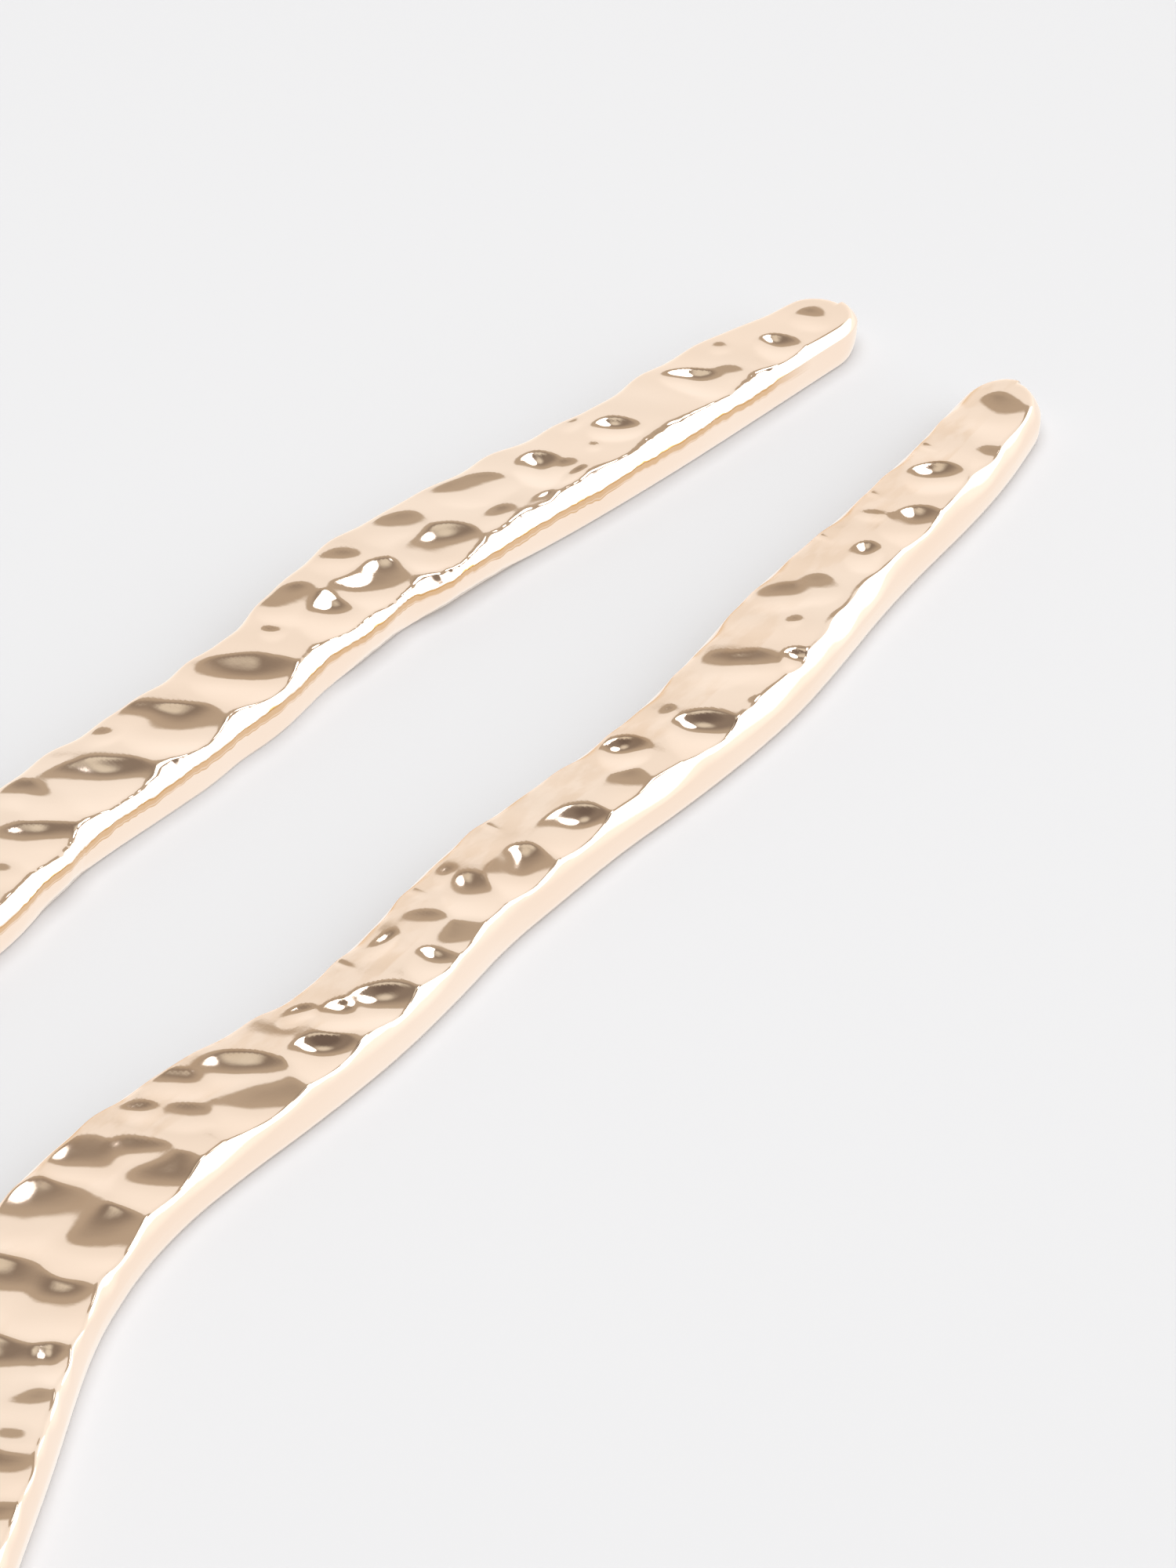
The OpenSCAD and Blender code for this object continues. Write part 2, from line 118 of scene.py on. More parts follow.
# The hollows of the hammered face, one row for each: distance from the tip, distance out from the
# middle axis, half the length, half the width, the turn towards the outside in degrees, and how
# deep it is as a share of its mean radius
FAINT = 0.09
EVEN = 0.12
CORED = 0.16
DEEP = 0.182
RIGHT_HOLLOWS = [
    (3.5, 6.3, 2.2, 1.5, 38, EVEN), (6.1, 7.8, 1.7, 0.9, 25, EVEN), (8.7, 6.6, 1.4, 1.15, -5, DEEP),
    (12.1, 8.2, 1.6, 1.5, 0, DEEP), (12.6, 6.3, 0.9, 0.45, -50, FAINT), (13.1, 8.6, 0.35, 0.3, 0, FAINT),
    (15.3, 7.7, 1.05, 0.9, 20, DEEP), (18.5, 7.6, 1.2, 1.1, -20, FAINT), (19.8, 6.8, 1.4, 1, -25, FAINT),
    (21, 8.2, 0.5, 0.35, 0, FAINT), (23, 10.1, 0.95, 0.9, 0, DEEP), (24.6, 8.8, 1.4, 1.2, 0, FAINT),
    (25.6, 7.9, 1.6, 1.2, -20, FAINT), (26.6, 10.5, 0.7, 0.4, 10, EVEN), (29.6, 10.2, 1.8, 1.75, 0, DEEP),
    (29.5, 7.9, 0.6, 0.35, 0, FAINT), (32.8, 8.2, 1.3, 1, 0, DEEP), (34.8, 10, 1.6, 1.3, 20, FAINT),
    (38.3, 10, 2, 1.7, 0, DEEP), (38.8, 10.3, 0.35, 0.3, 0, FAINT), (41.8, 10.2, 2, 1.75, 25, DEEP),
    (44.4, 9.3, 1.6, 1.25, 38, CORED), (44.1, 7.6, 0.8, 0.5, 10, FAINT), (47.1, 9, 1.1, 1.1, 0, FAINT),
    (46.9, 10.8, 1.6, 1.3, 0, FAINT), (48.8, 11.1, 1.4, 1.3, 0, DEEP), (49.4, 8.3, 1.2, 0.5, 0, EVEN),
    (52.3, 11.1, 1.9, 1.5, -30, DEEP), (53.8, 10, 1.2, 1, -35, DEEP), (55, 8.6, 1, 0.5, -15, EVEN),
    (56.5, 11.2, 1.7, 1.6, 0, DEEP), (59.4, 9.2, 2.2, 1.5, -50, EVEN), (61.4, 7.7, 1.6, 1.1, -50, EVEN),
    (62.8, 9.4, 1.3, 0.9, -50, FAINT), (63.8, 7.5, 0.9, 0.7, -50, EVEN), (66.1, 9.2, 1.6, 1.3, -50, EVEN),
    (78, 14.8, 1.2, 1.4, -50, DEEP),
]
LEFT_HOLLOWS = [
    (2.5, 5.1, 0.9, 0.9, 45, FAINT), (5.2, 4.8, 1.05, 1.2, 0, DEEP), (6.8, 6.8, 0.5, 0.5, 0, FAINT),
    (8.9, 5.1, 1.6, 1.2, 30, FAINT), (9.5, 6.1, 1.6, 0.95, 62, CORED), (14.7, 6.6, 1.2, 0.95, 40, DEEP),
    (16.3, 6.6, 0.4, 0.4, 0, FAINT), (15.6, 8.4, 0.6, 0.4, 0, FAINT), (19.1, 7.4, 1.15, 1.25, 30, DEEP),
    (18.3, 6.5, 0.7, 0.6, 0, FAINT), (18.5, 5.9, 0.9, 0.35, 0, EVEN), (20.7, 5.9, 0.9, 0.4, 0, EVEN),
    (22, 8.6, 1.9, 1.1, 35, FAINT), (23.1, 6.5, 1.2, 0.8, 0, FAINT), (26.5, 6.9, 2.2, 2, 20, CORED),
    (26.4, 9.3, 1.6, 1.3, 20, FAINT), (27, 6.7, 0.4, 0.3, 0, EVEN), (30.3, 7.3, 2.5, 1.9, 8, CORED),
    (32.9, 7.7, 1.8, 1.7, 0, DEEP), (33.5, 9.5, 1.6, 1.4, 0, EVEN), (29.9, 10, 1.2, 1, 20, FAINT),
    (35.6, 8.9, 0.6, 0.6, 0, EVEN), (38.7, 7.5, 2.5, 1.9, 51, EVEN), (39.5, 6.9, 0.35, 0.35, 0, EVEN),
    (43.4, 7.6, 2.4, 1.9, 51, EVEN), (43.8, 9.4, 1.6, 1.3, 30, FAINT), (45.8, 9.9, 1, 0.55, 10, FAINT),
    (48.3, 7.8, 2.8, 1.9, 48, EVEN), (48.5, 9.2, 0.9, 1, 0, FAINT), (50.6, 8.8, 1.3, 1.7, 0, FAINT),
    (51, 10.2, 1.2, 0.9, 0, FAINT), (53, 7.2, 2.2, 1.7, 45, EVEN), (55.4, 6.9, 1, 0.9, 0, FAINT),
]

# The troughs, where blows ran together: the same columns, but with blunt ends
RIGHT_TROUGHS = [
    (60.4, 11.5, 2.4, 2.3, -50, EVEN), (66.8, 11.5, 2.1, 2.2, -50, EVEN), (67.7, 8, 1.6, 1.7, -50, EVEN),
    (71.3, 11.8, 2.6, 2.7, -50, EVEN), (71.4, 9, 2.4, 2.6, -50, EVEN), (75.4, 12.8, 2.3, 2.3, -50, EVEN),
    (75.9, 10.6, 2.2, 2.3, -50, EVEN), (79.9, 13.5, 2.2, 2.5, -50, EVEN), (80.7, 15.7, 1.6, 1.8, -50, EVEN),
    (82.3, 16.7, 1, 1.1, -50, EVEN), (84.2, 17.4, 1.8, 1.7, -50, EVEN), (86.8, 18.8, 1.8, 1.7, -50, EVEN),
]

# How far the shoulder of the top face lies in from the widest line, along the side that the
# hammer met most: the outer side of the right prong and the inner side of the left one. One row
# for each place: distance from the tip, and that inset.
RIGHT_SHOULDER = [
    (0, 0.55), (3, 0.45), (4.7, 0.75), (5.6, 0.5), (7, 0.8), (9.5, 0.4), (12.5, 0.4), (15.5, 0.45),
    (17.2, 1), (18.5, 0.8), (20, 1.2), (21, 0.75), (22.5, 0.8), (24, 0.65), (26, 0.8), (28, 0.65),
    (31, 0.45), (33, 0.85), (36, 0.65), (39.5, 0.45), (43.5, 0.35), (45.5, 0.45), (48, 0.35),
    (50.2, 0.65), (54, 0.45), (58, 0.35), (62, 0.55), (64, 0.7), (68, 0.55), (73, 0.6),
]
LEFT_SHOULDER = [
    (0, 0.5), (4.5, 0.55), (6, 0.3), (7, 1), (9.5, 0.35), (13, 1.05), (16, 0.45), (18, 0.95), (20, 0.7),
    (22, 0.85), (24.5, 0.5), (26.2, 0.3), (28, 1.15), (29, 0.6), (31, 0.35), (34, 0.3), (35, 0.8),
    (36, 0.85), (38, 0.55), (39, 0.45), (40.7, 1.15), (42, 0.8), (44, 0.5), (45.2, 1.2), (47, 0.8),
    (49, 0.5), (50, 0.7), (51, 0.6), (53.8, 0.3), (54.5, 0.5), (58, 0.55),
]
SHOULDER_EASE = 0.5
SHOULDER_FADE = 4

# Past the charted stretches the hollows follow a loose zigzag. Each of their measures wanders over
# a range of its own, by a stride from one hollow to the next.
HOLLOW_PITCH = 2.2
HOLLOW_OUT = 1.45
OUT_RANGE = 0.7
OUT_STRIDE = 0.618
HOLLOW_R = 1.95
R_RANGE = 0.7
R_STRIDE = 0.414
HOLLOW_SLIM = 0.85
SLIM_RANGE = 0.2
SLIM_STRIDE = 0.732
TURN_RANGE = math.radians(90)
TURN_STRIDE = 0.236
HOLLOW_DEPTH = 0.24
DEPTH_RANGE = 0.12
DEPTH_STRIDE = 0.871
RIGHT_CHARTED_TO = 86
LEFT_CHARTED_TO = 58

# The parting seam along the left prong's inner side is a thin flash with a ragged edge
SEAM_FROM = 4
SEAM_TO = 72
SEAM_START = 3
SEAM_END = 6
SEAM_PROUD = 0.035
SEAM_PROUD_MORE = 0.025
SEAM_WANDER = 0.04
BY_SEAM_BLEND = 0.1
THINNEST_UNDERCUT = 0.12
RAGGED_WAVES = ((0.45, 1.3, 0, 0.6), (0.3, 4.1, 0, 2), (0.35, 9.7, 1, 0))
RAGGED_PACE = ((2.5, 1.7, 0, 0),)

# How far the seam's line stands out from the bar's even width, one row for each place: distance
# from the tip, and that lip
LEFT_LIP = [
    (0, 0), (20, 0), (22, 0.1), (24, 0.33), (27, 0.45), (28.3, 0.2), (29.3, 0), (31, 0.25),
    (33, 0.2), (35, -0.15), (38, -0.2), (41, -0.35), (43, -0.15), (49, 0), (51, 0.05), (53, 0.35),
    (55, 0),
]

# Short file marks across the right prong's inner shoulder, and painted shade: a dark reflection painted
# along that shoulder's edge
NICKS = (6.8, 11.2, 15.1, 40.2, 45.4, 51.1)
NICK_HALF_W = 0.13
NICK_LONG = 0.9
NICK_DEEP = 0.045
RIM_PAINTED_SHADE = 0.8
RIM_PAINTED_SHADE_W = 0.1

# The straight flare starts where the bend is complete, and touches the head's circle
BEND_AT = 75
BEND_EASE = 0.15
FLARE_FROM = 78
FLARE_MARK = 80
FLARE_MARK_OUT = 13.52
HEAD_HALF_W = HEAD_BAR_W / 2
HEAD_CENTRE_R = HEAD_R - HEAD_HALF_W
HEAD_CENTRE = FLARE_MARK + (HEAD_CENTRE_R - FLARE_MARK_OUT * math.cos(FLARE)) / math.sin(FLARE)
FLARE_TO = HEAD_CENTRE - HEAD_CENTRE_R * math.sin(FLARE)
FLARE_PAST = FLARE_TO + 5
PIN_LENGTH = HEAD_CENTRE + HEAD_R
HEAD_TURN = math.pi + 2 * FLARE

# The file marks and the rim's painted shade end just before the head
MARKS_TO = FLARE_TO - 1

# The span over which a table's values are eased, and how many places there give their mean
EASE_SPAN = 1.5
EASE_STEPS = 5

# The mesh: rings along the bar, and places across it
TIP_ANGLES = (1.5, *range(6, 88, 6))
FINE_PITCH = 0.155
FINE_TO = 73
COARSE_PITCH = 0.22
FACE_PLACES = 15
OUTER_BEVEL_SHARES = (0.86, 0.72, 0.58, 0.44, 0.3, 0.18, 0.07)
INNER_BEVEL_SHARES = (0.92, 0.8, 0.68, 0.56, 0.44, 0.32, 0.2, 0.1, 0.04)
OUTER_UNDER_HEIGHTS = (0.1, 0.3, 0.6, 0.9)
INNER_UNDER_HEIGHTS = (0.03, 0.07, 0.13, 0.2, 0.27, 0.36, 0.6, 0.9)


def flare_x(s):
    return FLARE_MARK_OUT + (s - FLARE_MARK) * math.tan(FLARE)


def eased(pairs, s, span=EASE_SPAN):
    """A table's value at s, eased over a short span so that no kink shows at its rows."""
    at, value = zip(*pairs)
    shifts = np.linspace(-span, span, EASE_STEPS)
    return np.mean([np.interp(np.maximum(s + d, 0), at, value) for d in shifts], axis=0)


def prong_x(table, s):
    line = [(row[FROM_TIP], row[CENTRE]) for row in table]
    line.append((BEND_AT, flare_x(BEND_AT) + BEND_EASE))
    line += [(at, flare_x(at)) for at in (FLARE_FROM, FLARE_PAST)]
    return eased(line, s)


def wander(k, stride):
    """Numbers between -0.5 and 0.5 that wander with k by a stride."""
    return k * stride - math.floor(k * stride) - 0.5


def waves(rows, x, y):
    """The sum of the slow waves in a table."""
    return sum(high * np.sin(turns_x * x + turns_y * y + start) for high, turns_x, turns_y, start in rows)


def head_lump(turn):
    a = np.degrees(turn)
    many = np.sin(np.radians(MANY_LUMPS * a + MANY_LUMPS_FROM))
    few = np.sin(np.radians(FEW_LUMPS * a + FEW_LUMPS_FROM))
    return LUMP * (many + few) / 2


def prong_half_w(table, side, s):
    """Half the width. The lumps of the head's outline run on into the flare and fade out."""
    beyond = (FLARE_TO - s) / HEAD_CENTRE_R
    turn = FLARE + beyond if side > 0 else FLARE - HEAD_TURN - beyond
    fade = np.clip((s - LUMP_FROM) / (FLARE_TO - LUMP_FROM), 0, 1)
    even = [(row[FROM_TIP], row[HALF_W]) for row in table] + [(FLARE_FROM, HEAD_HALF_W)]
    return eased(even, s) + head_lump(turn) * fade


def prong_stations(table, side, s):
    """Place, half width, thickness and distance from the tip for each ring of a prong."""
    thick = np.interp(s, (0, FULL_T_FROM), (TIP_T, BAR_T))
    return np.stack([side * prong_x(table, s), -s, prong_half_w(table, side, s), thick, s], axis=1)


def head_stations(turn):
    """The same for each ring of the head. Its distance from the tips stays at the flare's end."""
    flat = np.ones_like(turn)
    return np.stack([
        HEAD_CENTRE_R * np.cos(turn), HEAD_CENTRE_R * np.sin(turn) - HEAD_CENTRE,
        HEAD_HALF_W + head_lump(turn), BAR_T * flat, FLARE_TO * flat,
    ], axis=1)


def all_stations():
    tip = TIP_R * (1 - np.cos(np.radians(TIP_ANGLES)))
    fine = np.arange(tip[-1] + FINE_PITCH, FINE_TO, FINE_PITCH)
    coarse = np.arange(FINE_TO, FLARE_TO - COARSE_PITCH / 2, COARSE_PITCH * math.cos(FLARE))
    s = np.concatenate([tip, fine, coarse])
    rings = round(HEAD_TURN * HEAD_CENTRE_R / COARSE_PITCH)
    turn = FLARE - HEAD_TURN * np.arange(rings + 1) / rings
    return np.concatenate([
        prong_stations(RIGHT_PRONG, 1, s), head_stations(turn), prong_stations(LEFT_PRONG, -1, s[::-1]),
    ])


def charted(table, side, bluntness):
    """The hollows of a table, as places on the pin with their real sizes and depths."""
    return [
        (side * out, -s, long * SPREAD, wide * SPREAD, math.radians(-90 + side * turn),
         steepness * math.sqrt(long * wide), bluntness)
        for s, out, long, wide, turn, steepness in table
    ]


def wandering_hollow(k, x, y, heading):
    """A hollow beside a point of the bar's middle line, on its right and its left by turns."""
    out = (1 if k % 2 == 0 else -1) * HOLLOW_OUT + OUT_RANGE * wander(k, OUT_STRIDE)
    r = HOLLOW_R + R_RANGE * wander(k, R_STRIDE)
    wide = r * (HOLLOW_SLIM + SLIM_RANGE * wander(k, SLIM_STRIDE))
    turn = heading + TURN_RANGE * wander(k, TURN_STRIDE)
    deep = HOLLOW_DEPTH + DEPTH_RANGE * wander(k, DEPTH_STRIDE)
    return (x - out * math.sin(heading), y + out * math.cos(heading), r, wide, turn, deep, ROUND_END)


def all_hollows():
    """Place, half length, half width, heading, depth and bluntness of every hollow."""
    hollows = charted(RIGHT_HOLLOWS, 1, ROUND_END) + charted(LEFT_HOLLOWS, -1, ROUND_END)
    hollows += charted(RIGHT_TROUGHS, 1, BLUNT_END)
    for k in range(int((FLARE_TO - RIGHT_CHARTED_TO) / HOLLOW_PITCH) + 1):
        s = RIGHT_CHARTED_TO + k * HOLLOW_PITCH
        hollows.append(wandering_hollow(k, flare_x(s), -s, FLARE - math.pi / 2))
    for k in range(int(HEAD_TURN * HEAD_CENTRE_R / HOLLOW_PITCH) + 1):
        turn = FLARE - k * HOLLOW_PITCH / HEAD_CENTRE_R
        x, y = HEAD_CENTRE_R * math.cos(turn), HEAD_CENTRE_R * math.sin(turn) - HEAD_CENTRE
        hollows.append(wandering_hollow(k, x, y, turn - math.pi / 2))
    for k in range(int((FLARE_TO - LEFT_CHARTED_TO) / HOLLOW_PITCH) + 1):
        s = LEFT_CHARTED_TO + k * HOLLOW_PITCH
        hollows.append(wandering_hollow(k, -float(prong_x(LEFT_PRONG, s)), -s, math.pi / 2))
    return hollows


def strayed(x, y):
    """Places moved a little, so that no hollow keeps the outline of a plain ellipse."""
    return x + STRAY * waves(STRAY_X_WAVES, x, y), y + STRAY * waves(STRAY_Y_WAVES, x, y)


def sunk(hollows, x, y):
    """How far the hammered face lies below its plane."""
    total = np.zeros_like(x)
    x, y = strayed(x, y)
    for hx, hy, long, wide, turn, deep, bluntness in hollows:
        reach = math.hypot(long, wide)
        near = (np.abs(x - hx) < reach) & (np.abs(y - hy) < reach)
        dx, dy = x[near] - hx, y[near] - hy
        along = dx * math.cos(turn) + dy * math.sin(turn)
        aside = dy * math.cos(turn) - dx * math.sin(turn)
        inside = np.clip(1 - np.abs(along / long) ** bluntness - (aside / wide) ** 2, 0, 1)
        lean = 1 + LEAN * (dx * LEAN_TOWARD[0] + dy * LEAN_TOWARD[1]) / math.sqrt(long * wide)
        bowl = deep * inside ** HOLLOW_PROFILE * np.clip(lean, *LEAN_LIMITS)
        total[near] += np.expm1(bowl / RIDGE_SOFT)
    return RIDGE_SOFT * np.log1p(total)


def side_share(edge_in, inset, roundness):
    """The rise of a side as a share of its full height, at a distance in from the edge."""
    return (1 - np.clip(1 - edge_in / inset, 0, 1) ** roundness) ** (1 / roundness)


def soft_min(a, b):
    return -RIM_SOFT * np.logaddexp(-a / RIM_SOFT, -b / RIM_SOFT)


def shoulder_in(table, here, x, y, s):
    """The shoulder's distance in from the widest line: charted where the table is meant for this
    side of this prong, and a slow wave elsewhere."""
    plain = BEVEL_IN + waves(SHOULDER_WAVES, x, y)
    charted_to = table[-1][FROM_TIP]
    share = np.clip((charted_to - s) / SHOULDER_FADE, 0, 1) * here
    return eased(table, s, SHOULDER_EASE) * share + plain * (1 - share)


def jagged(s):
    """A ragged line, between about -1 and 1, whose quickest wave keeps changing its pace."""
    return waves(RAGGED_WAVES, s, waves(RAGGED_PACE, s, 0))


def seam_share(x0, s):
    """1 along the parting seam, 0 past its ends and on the right prong."""
    start = np.clip((s - SEAM_FROM) / SEAM_START, 0, 1)
    end = np.clip((SEAM_TO - s) / SEAM_END, 0, 1)
    return (x0 < 0) * start * end


def nicks(s, from_rim):
    """Depth of the file marks, at a distance in from the shoulder."""
    cuts = sum(np.exp(-((s - at) / NICK_HALF_W) ** 2) for at in NICKS)
    return NICK_DEEP * cuts * np.clip(1 - from_rim / NICK_LONG, 0, 1)


def across(wide, inset, bevel_shares, flash, undercut, under_heights):
    """Places from the middle of the face out to the edge and back under, and the level of each:
    1 above the edge, 0 on it and -1 below."""
    face_shares = (np.arange(FACE_PLACES) + 0.5) / (FACE_PLACES - 0.5)
    top = [share * (wide - inset) for share in face_shares]
    top += [wide - inset * share for share in bevel_shares]
    under = [wide - undercut * (1 - math.sqrt(1 - height ** 2)) for height in under_heights]
    under += [wide - undercut, UNDER_MIDDLE_SHARE * wide]
    return top + [wide + flash] + under, [1] * len(top) + [0] + [-1] * len(under)


def bar_surface():
    """Points of the bar, one row for each ring: down its outer half from the middle of the face,
    then up its inner half. With them come the masks that the metal's finish and its painted rim shade use."""
    st = all_stations()
    x0, y0, w, thick, s = (st[:, k, None] for k in range(5))
    run = np.gradient(st[:, :2], axis=0)
    run /= np.linalg.norm(run, axis=1)[:, None]
    tip_share = np.clip((TIP_R - s) / TIP_R, 0, 1)
    squeeze = np.sqrt(1 - tip_share ** 2)

    seam = seam_share(x0, s)
    ragged = jagged(s)
    flash = seam * (SEAM_PROUD + SEAM_PROUD_MORE * ragged)
    lip = eased(LEFT_LIP, s, SHOULDER_EASE) * seam
    outer_in = shoulder_in(RIGHT_SHOULDER, x0 > 0, x0, y0, s) + OUTER_BEVEL_MORE
    inner_in = shoulder_in(LEFT_SHOULDER, x0 < 0, x0, y0, s) + lip + INNER_BEVEL_MORE * seam
    inner_undercut = np.maximum(UNDER_IN + lip, THINNEST_UNDERCUT)
    outer, outer_levels = across(w, outer_in, OUTER_BEVEL_SHARES, 0, UNDER_IN, OUTER_UNDER_HEIGHTS)
    inner, inner_levels = across(
        w + lip, inner_in, INNER_BEVEL_SHARES, flash, inner_undercut, INNER_UNDER_HEIGHTS)

    u = np.concatenate(outer + [-place for place in inner[::-1]], axis=1)
    level = np.array(outer_levels + inner_levels[::-1])[None, :]
    inset = np.where(u > 0, outer_in, inner_in)
    wide = np.where(u > 0, w, w + lip)
    undercut = np.where(u > 0, UNDER_IN, inner_undercut)
    inner_share = INNER_EDGE_SHARE + SEAM_WANDER * seam * ragged
    toward_outer = 0.5 + 0.5 * np.sin(np.pi / 2 * np.clip(u / wide, -1, 1)) * squeeze
    edge_z = thick * (inner_share + (OUTER_EDGE_SHARE - inner_share) * toward_outer)
    roundness = INNER_ROUNDNESS + (OUTER_ROUNDNESS - INNER_ROUNDNESS) * toward_outer

    edge_in = (1 - np.sqrt(tip_share ** 2 + (squeeze * u / wide) ** 2)) * wide
    x = x0 - run[:, 1, None] * u * squeeze
    y = y0 + run[:, 0, None] * u * squeeze
    upper = side_share(edge_in, inset, roundness)
    lower = side_share(edge_in, undercut, UNDER_ROUNDNESS)
    marked = (u < 0) & (x0 > 0) & (s < MARKS_TO)
    face = thick - sunk(all_hollows(), x, y) - FACE_WEAR * (1 + waves(WEAR_WAVES, x, y))
    face = face - marked * nicks(s, edge_in - inset)
    bevel = edge_z + (thick - edge_z + BEVEL_RISE) * upper
    over = soft_min(bevel, face)
    z = np.where(level > 0, over, np.where(level == 0, edge_z, edge_z * (1 - lower)))

    # Painted shade: a dark line along the crease where the bevel meets the face, standing in for its dark
    # reflection
    rim = np.exp(-np.abs(bevel - face) / RIM_PAINTED_SHADE_W) * (level > 0)
    return np.stack([x, y + PIN_LENGTH / 2, z], axis=2), {
        "below_seam": edge_z - z,
        "by_seam": seam * np.clip((-u - (wide - inset)) / BY_SEAM_BLEND, 0, 1),
        "rim_painted_shade": RIM_PAINTED_SHADE * marked * rim * np.clip(MARKS_TO - s, 0, 1),
        "cast_side": np.clip((edge_z - z) / CAST_SIDE_BLEND, 0, 1) * (level <= 0),
    }


def make_pin(name):
    """The pin's mesh, closed at both tips, with its masks as values at each point."""
    points, masks = bar_surface()
    rings, places, _ = points.shape
    i = np.arange(rings - 1)[:, None] * places
    j = np.arange(places)[None, :]
    after = (j + 1) % places
    quads = np.stack([i + j, i + after, i + places + after, i + places + j], axis=2).reshape(-1, 4)
    ends = [list(range(places))[::-1], list(range((rings - 1) * places, rings * places))]
    mesh = bpy.data.meshes.new(name)
    mesh.from_pydata((points.reshape(-1, 3) * MM).tolist(), [], quads.tolist() + ends)
    mesh.shade_smooth()
    mesh.validate()
    for mask, values in masks.items():
        mesh.attributes.new(mask, "FLOAT", "POINT").data.foreach_set("value", np.float32(values).ravel())
    pin = bpy.data.objects.new(name, mesh)
    bpy.context.scene.collection.objects.link(pin)
    return pin


# The sockets of a Mix node that is set to colour
MIX_SHARE, MIX_A, MIX_B, MIX_RESULT = 0, 6, 7, 2


class Nodes:
    """Short calls for building a node tree."""

    def __init__(self, tree):
        self.tree = tree

    def add(self, kind, **settings):
        node = self.tree.nodes.new(kind)
        for key, value in settings.items():
            setattr(node, key, value)
        return node

    def link(self, a, b):
        self.tree.links.new(a, b)

    def feed(self, socket, value):
        """Link a socket, or set it where the value is a plain one."""
        if hasattr(value, "links"):
            self.link(value, socket)
        else:
            socket.default_value = value

    def math(self, operation, a, b=0.0):
        node = self.add("ShaderNodeMath", operation=operation)
        self.feed(node.inputs[0], a)
        self.feed(node.inputs[1], b)
        return node.outputs[0]

    def times(self, *values):
        return functools.reduce(lambda total, value: self.math("MULTIPLY", total, value), values)

    def plus(self, *values):
        return functools.reduce(lambda total, value: self.math("ADD", total, value), values)

    def step(self, value, low, high):
        """0 at low and 1 at high, smooth between them. Low may be the larger of the two."""
        node = self.add("ShaderNodeMapRange", interpolation_type="SMOOTHSTEP")
        self.feed(node.inputs["Value"], value)
        node.inputs["From Min"].default_value = low
        node.inputs["From Max"].default_value = high
        return node.outputs["Result"]

    def mix_color(self, share, a, b):
        node = self.add("ShaderNodeMix", data_type="RGBA")
        self.feed(node.inputs[MIX_SHARE], share)
        self.feed(node.inputs[MIX_A], a)
        self.feed(node.inputs[MIX_B], b)
        return node.outputs[MIX_RESULT]


def node_group(name, inputs, outputs):
    """An empty shader node group with named sockets."""
    tree = bpy.data.node_groups.new(name, "ShaderNodeTree")
    for socket, kind, value in inputs:
        made = tree.interface.new_socket(socket, in_out="INPUT", socket_type="NodeSocket" + kind)
        if value is not None:
            made.default_value = value
    for socket, kind in outputs:
        tree.interface.new_socket(socket, in_out="OUTPUT", socket_type="NodeSocket" + kind)
    nodes = Nodes(tree)
    return tree, nodes, nodes.add("NodeGroupInput").outputs, nodes.add("NodeGroupOutput").inputs


def noise(nodes, vector, size, detail=2.0):
    """Soft noise from 0 to 1, whose patches are about as long as the size, in metres."""
    texture = nodes.add("ShaderNodeTexNoise")
    nodes.link(vector, texture.inputs["Vector"])
    nodes.feed(texture.inputs["Scale"], nodes.math("DIVIDE", 1.0, size))
    texture.inputs["Detail"].default_value = detail
    return texture.outputs["Fac"]


# Streaks run along the bar, which is nearly Y, and slant a little
STREAK_SLANT = math.radians(24)


def stretched(nodes, vector, stretch):
    """Coordinates in which noise runs in streaks, so many times longer than they are wide."""
    mapping = nodes.add("ShaderNodeMapping", vector_type="POINT")
    nodes.link(vector, mapping.inputs["Vector"])
    mapping.inputs["Rotation"].default_value = (STREAK_SLANT, 0, 0)
    mapping.inputs["Scale"].default_value = (1, 1 / stretch, 1)
    return mapping.outputs[0]


# The fine waves and the streaks of the polish: their size and their height, beside the broad waves
FINE_SIZE = 0.22
FINE_HEIGHT = 0.12
STREAK_SIZE = 0.16
STREAK_HEIGHT = 0.35
STREAK_STRETCH = 7


def polish_waves_group():
    """Height of the faint waves and pits that a buffing wheel leaves in cast metal."""
    tree, nodes, given, result = node_group(
        "Polish Waves",
        [("Vector", "Vector", None), ("Wave Length", "Float", 0.0015), ("Streaks", "Float", 0.0)],
        [("Height", "Float")])
    place, length = given["Vector"], given["Wave Length"]
    broad = noise(nodes, place, length, detail=1.0)
    fine = noise(nodes, place, nodes.times(length, FINE_SIZE))
    streaks = noise(nodes, stretched(nodes, place, STREAK_STRETCH), nodes.times(length, STREAK_SIZE))
    streaks = nodes.times(streaks, given["Streaks"], STREAK_HEIGHT)
    nodes.link(nodes.plus(broad, nodes.times(fine, FINE_HEIGHT), streaks), result["Height"])
    return tree


# The levels of the noise at which a smudge is nothing and full
SMUDGE_LEVELS = (0.42, 0.68)


def smudges_group():
    """Roughness that wanders from clean polish to the film that fingers leave."""
    tree, nodes, given, result = node_group(
        "Finger Smudges",
        [("Vector", "Vector", None), ("Size", "Float", 0.006), ("Clean", "Float", 0.05),
         ("Smudged", "Float", 0.1)],
        [("Roughness", "Float")])
    patch = nodes.step(noise(nodes, given["Vector"], given["Size"], detail=4.0), *SMUDGE_LEVELS)
    duller = nodes.times(patch, nodes.math("SUBTRACT", given["Smudged"], given["Clean"]))
    nodes.link(nodes.plus(given["Clean"], duller), result["Roughness"])
    return tree


